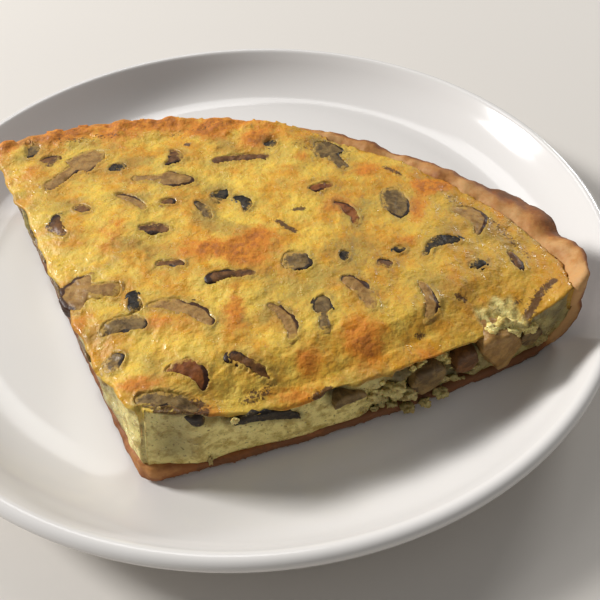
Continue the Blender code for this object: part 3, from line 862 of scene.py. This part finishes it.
@dataclass
class Custard:
    """The filling, as one skin over the top and down the cuts."""

    survey: Survey
    wedge: Wedge
    along: int = 190
    around: int = 290
    levels: int = 24
    start_radius: float = 0.9
    skin_depth: float = 1.3
    backs: list[float] = field(default_factory=list)

    INNER = 96.0  # radius from which the pastry wall is looked for
    BACK_RANGE = (108.0, 126.0)  # radii between which the filling ends
    BACK_STEP = 0.25
    OVERLAP = 0.5  # how far the filling reaches into the wall
    NO_TOP = 32.0  # height where nothing was measured
    NUMBERS = ("along", "turn", "brown", "skin", "stain", "deep", "mark", "falloff_shade")

    def tip_edge(self, radius: float, turn: float) -> float:
        """The strip in front of the slice at the tip, which its juices stain."""
        inward = self.wedge.inward(radius, turn)
        strip = (1.0 - step(inward, 2.6, 4.6)) * (1.0 - step(radius, 16.0, 19.0))
        return strip * step(radius, 2.0, 4.0) * step(turn, 0.9, 0.5)

    def wander(self, x: float, y: float, radius: float, turn: float) -> tuple[float, float]:
        """Moves a place so that the cuts are not straight in plan."""
        left = 1.7 * grain(radius, 0.0, 0.0, 8.0, 33.0) * step(turn, 0.9, 1.0)
        front = 0.8 * grain(radius, 0.0, 0.0, 9.0, 34.0) * (1.0 - step(turn, 0.0, 0.08))
        away = step(radius, 4.0, 14.0)
        return self.wedge.pushed(x, y, front * away, left * away)

    def murk(self, radius: float, turn: float, up: float) -> float:
        """How grey and wet the cut looks at a place: greyer at random on the left cut; on the front cut,
        greyer and darker in its torn right part, partly as torn, wet custard and partly as painted shade, and
        a patch of painted shade by the hollow near the tip.
        """
        if turn > LEFT_TURN:
            level = max(0.0, 0.5 + 0.9 * grain(radius, 1.0, up, 9.0, 29.0))
            return min(1.0, level * step(radius, 6.0, 20.0))
        if turn > FRONT_TURN:
            return 0.3
        # painted shade together with the torn custard's own grey: the torn right part of the front cut, and a
        # patch by the hollow near the tip
        share = step(radius, 50.0, 66.0) * (0.75 + 0.5 * grain(radius, 0.0, up, 6.0, 30.0))
        return max(share, 0.5 * bell(radius - 9.0, 5.0) * step(up, 4.0, 9.0))

    def _find_backs(self) -> None:
        """Measures how far the filling reaches at each turn."""
        for index in range(self.around + 1):
            turn = min(0.996, max(0.004, index / self.around))
            reach, end = self.BACK_RANGE
            while reach < end:
                if self.survey.drop(self.survey.custard, *self.wedge.place(reach, turn)) is None:
                    break
                reach += self.BACK_STEP
            self.backs.append(reach + self.OVERLAP)

    def brown_at(self, x: float, y: float) -> float:
        """How browned the skin is at a plan place."""
        level = sum(patch.at(x, y) for patch in BROWNED)
        radius, turn = self.wedge.polar(x, y)
        edge = step(radius, 106.0, 120.0) * step(turn, 0.42, 0.6)
        return min(1.4, level + 0.62 * edge * (0.8 + 0.7 * grain(x, y, 0.0, 7.0, 3.0)))

    def ridge(self, x: float, y: float) -> float:
        """Height of the browned, puffed-up ridge along the back edge."""
        radius, turn = self.wedge.polar(x, y)
        place = step(radius, 109.0, 115.0) * step(turn, 0.45, 0.58)
        return place * (0.9 + 1.1 * grain(x, y, 0.0, 5.0, 26.0) + 0.5 * grain(x, y, 0.0, 2.2, 27.0))

    def mark_at(self, x: float, y: float) -> float:
        """Strength of the dark marks under the skin at a plan place."""
        return max(stroke.at(x, y) for stroke in STROKES)

    def relief(self, x: float, y: float, brown: float) -> float:
        """How far the skin rises over the plain surface."""
        curds = 0.34 * grain(x, y, 0.0, 3.8, 2.0) + 0.2 * grain(x, y, 0.0, 1.8, 5.0)
        plain = swell(x, y) + curds + 0.5 * min(1.0, brown) - 0.15
        cover = self.survey.cover(x, y) + 0.36 * grain(x, y, 0.0, 3.0, 6.0)
        cover += 0.12 * grain(x, y, 0.0, 1.3, 6.2)
        lap = step(cover, 0.05, 0.4)
        under = step(cover, 0.42, 0.8)
        over_edge = swell(x, y) + 0.35 + 0.5 * grain(x, y, 0.0, 2.6, 6.5)
        shape = plain + (over_edge - plain) * lap * 0.7
        return shape + self.ridge(x, y) + (swell(x, y) - 0.9 - shape) * under

    def bare(self, x: float, y: float) -> float:
        """Where the skin is torn off, by the front cut near its right end."""
        radius, turn = self.wedge.polar(x, y)
        inward = self.wedge.inward(radius, turn)
        edge = 6.2 + 2.4 * grain(x, y, 0.0, 3.2, 15.0)
        along_it = 1.0 - step(abs(radius - 94.5), 4.2, 6.4)
        return along_it * (1.0 - step(inward, edge - 1.0, edge + 1.0))

    def top_z(self, x: float, y: float) -> float:
        """Height of the plain top in millimetres."""
        height = self.survey.skin_height(x, y)
        if height is None:
            pulled = Vector((x, y)).lerp(Vector((0.0, -20.0)), 0.03)
            height = self.survey.skin_height(pulled.x, pulled.y)
        return self.NO_TOP if height is None else height

    def front_relief(self, along: float, depth: float, up: float) -> tuple[float, float]:
        """Shape of the front cut.

        Args:
            along: Distance from the tip.
            depth: Distance below the top.
            up: Height above the slice's underside.

        Returns:
            How far the face stands out, and how much shade is painted in its hollows.
        """
        depth_here, dark = hollows_at(FRONT_HOLLOWS, along, up)
        torn = step(along, 53.0, 62.0) * (1.0 - step(along, 103.0, 110.0))
        rough = 0.3 + 1.7 * torn
        curds = grain(along, 0.0, up, 5.2, 7.0) + 0.6 * grain(along, 0.0, up, 2.4, 8.0)
        out = rough * curds - 0.8 * torn
        lip = (1.0 + 0.8 * grain(along, 0.0, 0.0, 4.0, 9.0)) * bell(depth - 0.5, 1.0)
        lip *= step(along, 15.0, 19.0)
        lobe = 0.7 * bell(along - 13.5, 3.0) * bell(up - 8.0, 8.0)
        return out + lip + lobe - depth_here, dark

    def left_relief(self, along: float, depth: float, up: float) -> tuple[float, float]:
        """Shape of the left cut, as for the front cut."""
        out = 0.7 * grain(along, 3.0, up, 5.5, 11.0) + 0.3 * grain(along, 3.0, up, 2.2, 12.0)
        depth_here, dark = hollows_at(LEFT_HOLLOWS, along, up)
        lip = (0.7 + 0.6 * grain(along, 5.0, 0.0, 4.0, 13.0)) * bell(depth - 0.5, 1.0)
        return out + lip - depth_here, dark

    def _top_grid(self) -> Builder:
        """The top, as a grid bent round the tip, with each point's place in that grid."""
        builder = bmesh.new()
        bmesh.ops.create_grid(builder, x_segments=self.along, y_segments=self.around, size=0.5)
        along, turn = paint(builder, ("along", "turn"))
        for vertex in builder.verts:
            vertex[along] = vertex.co.x + 0.5
            vertex[turn] = vertex.co.y + 0.5
        return builder

    def _back(self, turn: float) -> float:
        """The filling's reach at a turn."""
        spot = turn * self.around
        low = min(int(spot), self.around - 1)
        return self.backs[low] + (self.backs[low + 1] - self.backs[low]) * (spot - low)

    def _plan(self, radius: float, turn: float) -> tuple[float, float]:
        """Plan place of a radius and a turn, on cuts that wander a little."""
        return self.wander(*self.wedge.place(radius, turn), radius, turn)

    def _radius(self, along: float, turn: float) -> float:
        """Radius of a share of the way from the tip to the back."""
        return self.start_radius + (self._back(turn) - self.start_radius) * along

    def _side_place(
        self, radius: float, turn: float, share: float, brown: float
    ) -> tuple[Vector, float, float]:
        """A point of the sides, at a share of the way down.

        Returns:
            The place in millimetres, the skin's share and the shade painted in the hollow there.
        """
        x, y = self._plan(radius, turn)
        plan_radius = radius
        tip_x, tip_y = self.wedge.leant(x, y, radius, 1.0)
        top = self.top_z(tip_x, tip_y) + self.relief(tip_x, tip_y, brown)
        inset = 1.2 + 2.6 * math.exp(-radius / 3.0)
        inner = self.wedge.place(radius + inset, min(0.99, max(0.01, turn)))
        low = (self.survey.drop(self.survey.pastry, *inner) or 10.0) - 0.3
        low = min(low, top - 8.0) if radius < 106.0 else min(low, 10.5 + self.survey.rise(x, y))
        up = top + (low - top) * share
        radius -= self._inset(radius, turn, up)
        height = (up - UNDERSIDE - self.survey.rise(x, y)) / self.wedge.height
        x, y = self._plan(radius, turn)
        x, y = self.wedge.leant(x, y, radius, max(0.0, height) + 0.3 * step(height, 0.3, 0.1))
        out, dark = 0.0, 0.0
        if turn < FRONT_TURN:
            out, dark = self.front_relief(radius, top - up, height * self.wedge.height)
            end = step(plan_radius, self.backs[0] - 6.0, self.backs[0] - 1.5)
            out += (-0.7 - out) * end
            x, y = self.wedge.pushed(x, y, front=out)
        elif turn > LEFT_TURN:
            out, dark = self.left_relief(radius, top - up, height * self.wedge.height)
            x, y = self.wedge.pushed(x, y, left=out)
        hang = self.skin_depth + 0.9 + 0.9 * grain(x, y, up, 3.0, 4.0)
        if turn < FRONT_TURN:
            hang += 3.6 * bell(radius - 72.0, 5.0) + 1.2 * bell(radius - 55.0, 6.0)
            hang *= step(radius, 14.0, 18.0) + 0.02
        elif turn < LEFT_TURN:
            hang = 4.5
        skin = 1.0 - step(top - up, 0.4 * hang, hang)
        return Vector((x, y, up)), skin * (1.0 - self.bare(x, y)), dark

    def _inset(self, radius: float, turn: float, up: float) -> float:
        """How far a place moves in at a height, so that the sloping pastry wall covers the filling."""
        back = self._back(turn)
        share = step(radius, back - 12.0, back)
        if share == 0.0:
            return 0.0
        inner = min(0.99, max(0.01, turn))
        start = Vector((*self.wedge.place(self.INNER, inner), up)) * MM
        end = Vector((*self.wedge.place(self.wedge.radius, inner), up)) * MM
        hit = self.survey.pastry.ray_cast(start, (end - start).normalized())
        if hit[0] is None:
            return 0.0
        return share * max(0.0, back - self.INNER - hit[3] / MM - self.OVERLAP)

    def build(self, material: Material) -> Piece:
        """Models the filling.

        Args:
            material: The custard's finish.

        Returns:
            The custard.
        """
        self._find_backs()
        builder = self._top_grid()
        along, turn, brown, skin, stain, deep, mark, falloff_shade = paint(builder, self.NUMBERS)
        for vertex in builder.verts:
            radius = self._radius(vertex[along], vertex[turn])
            x, y = self._plan(radius, vertex[turn])
            x, y = self.wedge.leant(x, y, radius, 1.0)
            torn = self.bare(x, y)
            vertex[brown] = self.brown_at(x, y)
            vertex[skin] = 1.0 - torn
            height = self.top_z(x, y) + self.relief(x, y, vertex[brown])
            lumps = 1.1 * grain(x, y, 0.0, 3.0, 17.0) + 0.8 * grain(x, y, 0.0, 1.6, 18.0)
            height += torn * (lumps - 0.3)
            vertex.co = Vector((x, y, height)) * MM
            juice = 1.2 * self.survey.cover(x, y) + 0.6 * self.survey.near_slice(vertex.co, 4.0)
            at_tip = self.tip_edge(radius, vertex[turn])
            vertex[mark] = max(self.mark_at(x, y), 0.75 * at_tip)
            vertex[stain] = max(min(1.0, juice), at_tip)
            # painted shade: rises towards the right, where the light falls off
            vertex[falloff_shade] = 0.4 * step(x, 0.0, 40.0) + 0.6 * step(x, 30.0, 85.0)
        rim = [edge for edge in builder.edges if edge.is_boundary]
        for level in range(1, self.levels + 1):
            share = (level / self.levels) ** 1.15
            grown = bmesh.ops.extrude_edge_only(builder, edges=rim)
            rim = [item for item in grown["geom"] if isinstance(item, bmesh.types.BMEdge)]
            rim = [edge for edge in rim if edge.is_boundary]
            for vertex in {end for edge in rim for end in edge.verts}:
                radius = self._radius(vertex[along], vertex[turn])
                side = self._side_place(radius, vertex[turn], share, vertex[brown])
                # the third number is the shade painted in the cut's hollows
                place, vertex[skin], vertex[deep] = side
                vertex.co = place * MM
                juice = 0.6 * self.survey.near_slice(vertex.co, 2.0)
                # mushroom juice, and the cut's grey, which on the front cut is partly painted shade
                vertex[stain] = max(juice, self.murk(radius, vertex[turn], place.z - UNDERSIDE))
        bmesh.ops.holes_fill(builder, edges=rim)
        bmesh.ops.recalc_face_normals(builder, faces=builder.faces)
        return new_piece("custard_filling", builder, material, ["custard"])


# Pastry


@dataclass
class Pastry:
    """The shell: the frame's solid with crumbly, uneven faces."""

    survey: Survey
    wedge: Wedge
    face: float = 0.85
    rim_radius: float = 104.0
    rim_height: float = 18.0
    wall_start: float = 108.0
    wall_end: float = 114.0
    sweep: float = 1.73

    def _on_rim(self, place: Vector) -> bool:
        """Whether a place is on the rim's upper part."""
        return place.z > self.rim_height and self.wedge.polar(place.x, place.y)[0] > self.rim_radius

    def build(self, material: Material) -> Piece:
        """Roughens and browns the shell, and paints shade on its underside band away from the tip.

        Args:
            material: The pastry's finish.

        Returns:
            The shell.
        """
        builder = even_mesh(merged_copy(self.survey.nodes["crust"]), self.face)
        high = [vertex for vertex in builder.verts if self._on_rim(vertex.co / MM)]
        soften(builder, builder.verts, 1)
        soften(builder, high, 7)
        bake_and_shade, film = paint(builder, ("bake_and_shade", "film"))
        builder.normal_update()
        for vertex in builder.verts:
            x, y, z = vertex.co / MM
            radius, turn = self.wedge.polar(x, y)
            up = z - UNDERSIDE - self.survey.rise(x, y)
            wall = step(radius, self.wall_start, self.wall_end)
            rough = 0.4 * grain(x, y, z, 5.0, 21.0) + 0.3 * grain(x, y, z, 2.2, 22.0)
            lumps = 0.5 + 1.5 * grain(x, y, z, 8.0, 23.0) + 0.5 * grain(x, y, z, 3.4, 25.0)
            rough += wall * step(up, 14.0, 19.0) * lumps
            on_cut = step(abs(vertex.normal.z), 0.75, 0.4) * (1.0 - wall)
            if up > 0.5:
                vertex.co += vertex.normal * (rough + 0.7 * on_cut) * MM
            heading = self.wedge.front + turn * self.sweep
            facing_out = vertex.normal.x * math.cos(heading) + vertex.normal.y * math.sin(heading)
            crest = step(radius, 120.5, 127.0)
            # baked brown with painted shade: the underside band is darker away from the tip and at its very
            # bottom, and lighter at the tip, where light falls
            base = 1.15 - 0.2 * step(up, 1.0, 4.0) - 0.55 * math.exp(-radius / 14.0)
            base += 0.2 * step(radius, 40.0, 80.0)
            side = 0.92 + 0.2 * (1.0 - step(up, 2.0, 10.0))
            inner = 0.24 + 0.85 * crest + 0.5 * grain(x, y, 0.0, 8.0, 24.0)
            outer_share = step(facing_out, -0.1, 0.5)
            face = inner * (1.0 - outer_share) + side * outer_share
            vertex[bake_and_shade] = base * (1.0 - wall) + wall * face
            vertex[film] = step(turn, 0.42, 0.6) * step(up, 18.0, 23.0)
        return new_piece("pastry_shell", builder, material, ["crust"])


# Mushrooms

TOP_TONES = {
    Tone.BLACK: (4, 13, 19, 20, 22, 23, 24, 30, 36),
    Tone.GREY: (1, 17, 18, 21, 35, 38, 41, 42, 14),
    Tone.BROWN: (2, 6, 8, 9, 10, 11, 12, 25, 26, 27, 31, 40),
    Tone.TAN: (3, 5, 7, 28, 29, 32, 33, 34, 37),
    Tone.RUST: (15, 16, 39),
}
# Heading in degrees of the side where a top slice's edge is darkest, by its number.
DARK_SIDES = {
    1: -70, 3: -50, 5: -10, 7: 70, 8: 20, 9: -90, 12: -90, 28: 80, 29: 0,
    31: -80, 32: 0, 33: 180, 34: 30, 37: 40, 38: 90, 39: -20, 42: -80,
}
FRONT_TONES = {Tone.BLACK: (1,), Tone.GREY: (2, 3, 6), Tone.BROWN: (4,), Tone.TAN: (5,)}


@dataclass
class Mushrooms:
    """The slices that show in the top and in the cuts."""

    survey: Survey
    wedge: Wedge
    face: float = 0.45
    finishes: dict[Tone, Material] = field(default_factory=dict)

    GROWN = {5: 1.6, 4: 0.8, 3: 0.8}  # millimetres that a front slice grows, by its number

    def tone_of(self, name: str) -> Tone:
        """The tone of a slice, from its name's group and number."""
        number = int(name[-2:])
        table = TOP_TONES if "_top_" in name else FRONT_TONES
        if "_left_" in name:
            return Tone.GREY
        return next(tone for tone, numbers in table.items() if number in numbers)

    def build_slice(self, name: str) -> Piece:
        """Rounds, wrinkles and colours one slice.

        Args:
            name: The frame's node.

        Returns:
            The slice.
        """
        builder = even_mesh(merged_copy(self.survey.nodes[name]), self.face)
        outline = BVHTree.FromBMesh(merged_copy(self.survey.nodes[name]))
        soften(builder, builder.verts, 3)
        rim, outline_share = paint(builder, ("rim", "outline"))
        on_top = "_top_" in name
        seed = 3.7 * sum(ord(letter) for letter in name)
        number = int(name[-2:])
        dark_side = math.radians(DARK_SIDES.get(number, math.degrees(seed))) if on_top else seed
        outwards = Vector((*self.wedge.pushed(0.0, 0.0, front=1.0), 0.0))
        builder.normal_update()
        low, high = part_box(name)
        middle = (Vector(low) + Vector(high)) / 2
        for vertex in builder.verts:
            x, y, z = vertex.co / MM
            side = Vector((vertex.co.x - middle.x, vertex.co.y - middle.y, 0.0))
            reach = 9.0
            if side.length > 0.0:
                hit = outline.ray_cast(vertex.co - Vector((0.0, 0.0, 0.001)), side.normalized())
                reach = 0.0 if hit[0] is None else hit[3] / MM
            heading = math.atan2(side.y, side.x)
            shaded = max(0.0, math.cos(heading - dark_side)) ** 0.6
            vertex[rim] = (1.0 - step(reach, 0.3, 1.9)) * shaded if on_top else 0.2
            covered = (1.0 - step(reach, 0.4, 3.2)) * (1.0 - 0.8 * shaded)
            vertex[outline_share] = covered if on_top else 0.15
            wrinkle = 0.25 * grain(x, y, z, 3.0, 31.0) + 0.2 * grain(x, y, z, 1.4, 32.0)
            vertex.co += vertex.normal * wrinkle * MM
            if on_top:
                flat = Vector((vertex.normal.x, vertex.normal.y, 0.0))
                spread = 0.7 + 1.0 * grain(x, y, 0.0, 4.5, seed) + 0.4 * grain(x, y, 0.0, 2.0, seed)
                vertex.co += flat * spread * MM
                vertex.co.z += (swell(x, y) - 0.55 + 0.35 * grain(x, y, 0.0, 5.0, seed)) * MM
            else:
                grown = self.GROWN.get(number, 0.2) if "_front_" in name else 0.0
                vertex.co += (side.normalized() * grown + outwards * 0.3) * MM
                vertex.co.z += vertex.normal.z * grown * MM
        material = self.finishes[self.tone_of(name)]
        piece = name.replace("mushroom", "mushroom_slice")
        return new_piece(piece, builder, material, [name])

    def build(self) -> None:
        """Builds every slice."""
        for name in self.survey.slices:
            self.build_slice(name)


# Loose bits

# Torn bits: distance from the tip, height, distance out of the cut, and three half sizes.
CHUNKS = (
    (94.0, 18.0, -1.2, 3.4, 2.4, 3.2), (97.5, 16.8, -0.4, 2.4, 1.8, 2.2),
    (90.5, 19.0, -1.6, 2.4, 2.0, 1.8), (102.5, 15.6, 0.2, 1.8, 1.4, 1.5),
    (108.0, 7.6, 0.2, 1.9, 1.4, 2.0), (63.5, 11.0, 0.2, 2.8, 1.8, 2.6),
    (67.5, 8.0, 0.6, 2.2, 1.8, 2.2), (58.0, 11.0, 0.0, 1.8, 1.2, 2.2),
    (52.2, 13.8, 0.4, 0.9, 0.7, 1.6), (23.0, 18.6, 0.6, 1.0, 0.6, 0.9),
    (16.0, 4.2, 0.5, 0.6, 0.5, 1.8), (77.0, 4.0, 1.6, 1.7, 1.5, 1.5),
    (72.5, 2.6, 2.0, 1.4, 1.3, 1.2), (67.5, 3.0, 1.8, 1.6, 1.4, 1.6),
)


@dataclass
class Crumbs:
    """Torn bits of custard along the front cut, and drips of cheese."""

    survey: Survey
    wedge: Wedge
    seed: int = 11
    loose: int = 34

    def _lump(self, builder: Builder, place: Vector, size: Vector, detail: int, seed: float) -> None:
        """Adds one uneven lump.

        Args:
            builder: The mesh to add to.
            place: Its middle in millimetres.
            size: Its half sizes in millimetres.
            detail: Subdivisions of the ball that it starts from.
            seed: Shifts its bumps.
        """
        made = bmesh.ops.create_icosphere(builder, subdivisions=detail, radius=1.0)
        for vertex in made["verts"]:
            way = vertex.co.normalized()
            bump = 1.0 + 0.6 * noise.noise(way * 1.4 + Vector((seed, 0.0, seed)))
            bump += 0.35 * noise.noise(way * 3.4 + Vector((0.0, seed, 0.0)))
            local = Vector((way.x * size.x, way.y * size.y, way.z * size.z)) * bump
            vertex.co = (place + local) * MM

    def _front(self, along: float, up: float, out: float) -> Vector:
        """A place in front of the front cut, in millimetres."""
        x, y = self.wedge.pushed(*self.wedge.place(along, 0.0), front=out)
        return Vector((x, y, UNDERSIDE + self.survey.rise(x, y) + up))

    def build(self, material: Material) -> Piece:
        """Models the bits as one piece.

        Args:
            material: The custard's finish.

        Returns:
            The bits.
        """
        chance = random.Random(self.seed)
        builder = bmesh.new()
        for along, up, out, wide, thick, tall in CHUNKS:
            self._lump(builder, self._front(along, up, out), Vector((wide, thick, tall)), 4, along)
        for _ in range(self.loose):
            along = chance.uniform(54.0, 106.0)
            size = chance.uniform(0.5, 1.6)
            up = chance.choice((chance.uniform(3.2, 7.5), chance.uniform(13.5, 17.5)))
            spans = ((0.7, 1.4), (0.5, 0.9), (0.7, 1.4))
            shape = Vector([size * chance.uniform(*span) for span in spans])
            place = self._front(along, up, chance.uniform(-1.4, -0.2))
            self._lump(builder, place, shape, 3, along)
        skin, stain = paint(builder, ("skin", "stain"))
        for vertex in builder.verts:
            vertex[skin] = 0.0
            # the lower bits are greyer and darker towards the bottom
            vertex[stain] = 0.65 * (1.0 - step(vertex.co.z / MM, 14.0, 25.0))
        return new_piece("custard_bits", builder, material, [])


# Studio


@dataclass
class Studio:
    """A pale floor, a lamp low on the left, two weaker ones behind, and the camera."""

    camera_place: tuple[float, float, float] = (0.0144, -0.1564, 0.1495)
    camera_tilt: float = math.radians(90.0 - 47.42)
    lens: float = 38.4
    floor_size: float = 3.0
    floor_colour: Colour = srgb(214, 208, 200)

    def _lamp(self, name: str, place: tuple[float, float, float], size: float, power: float) -> None:
        """A square area lamp that faces the plate."""
        data = bpy.data.lights.new(name, "AREA")
        data.size = size
        data.energy = power
        lamp = bpy.data.objects.new(name, data)
        lamp.location = place
        lamp.rotation_euler = (-Vector(place)).to_track_quat("-Z", "Y").to_euler()
        bpy.context.scene.collection.objects.link(lamp)

    def build(self) -> None:
        """Sets up the floor, the light, the camera and the view transform."""
        builder = bmesh.new()
        bmesh.ops.create_grid(builder, x_segments=1, y_segments=1, size=self.floor_size / 2)
        mesh = bpy.data.meshes.new("floor")
        builder.to_mesh(mesh)
        builder.free()
        floor = bpy.data.objects.new("floor", mesh)
        bpy.context.scene.collection.objects.link(floor)
        shader = Shader("floor_pale")
        shader.set("Base Color", self.floor_colour)
        shader.set("Roughness", 0.8)
        mesh.materials.append(shader.material)
        self._lamp("key", (-1.56, 0.44, 1.02), 0.4, 42.0)
        self._lamp("top", (-0.5, 1.5, 1.9), 0.9, 9.0)
        self._lamp("window", (0.9, 1.2, 0.7), 0.34, 6.5)
        world = bpy.data.worlds.new("studio")
        world.use_nodes = True
        world.node_tree.nodes["Background"].inputs["Color"].default_value = (1.0, 1.0, 1.0, 1.0)
        world.node_tree.nodes["Background"].inputs["Strength"].default_value = 0.25
        bpy.context.scene.world = world
        data = bpy.data.cameras.new("camera")
        data.lens = self.lens
        data.clip_start = 0.01
        camera = bpy.data.objects.new("camera", data)
        camera.location = self.camera_place
        camera.rotation_euler = (self.camera_tilt, 0.0, 0.0)
        bpy.context.scene.collection.objects.link(camera)
        bpy.context.scene.camera = camera
        bpy.context.scene.view_settings.view_transform = "Standard"


def main(frame: dict) -> None:
    """Builds every piece in order.

    Args:
        frame: The loaded frame.
    """
    logging.basicConfig(level=logging.INFO, format="%(name)s %(message)s")
    survey = Survey(frame["nodes"])
    wedge = Wedge()
    custard = CustardFinish().build()
    tones = {finish.tone: finish.build() for finish in MUSHROOM_FINISHES}
    Plate().build(GlazeFinish().build())
    Pastry(survey, wedge).build(PastryFinish().build())
    Custard(survey, wedge).build(custard)
    Mushrooms(survey, wedge, finishes=tones).build()
    Crumbs(survey, wedge).build(custard)
    Studio().build()


if __name__ == "__main__":
    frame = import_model()
    main(frame)
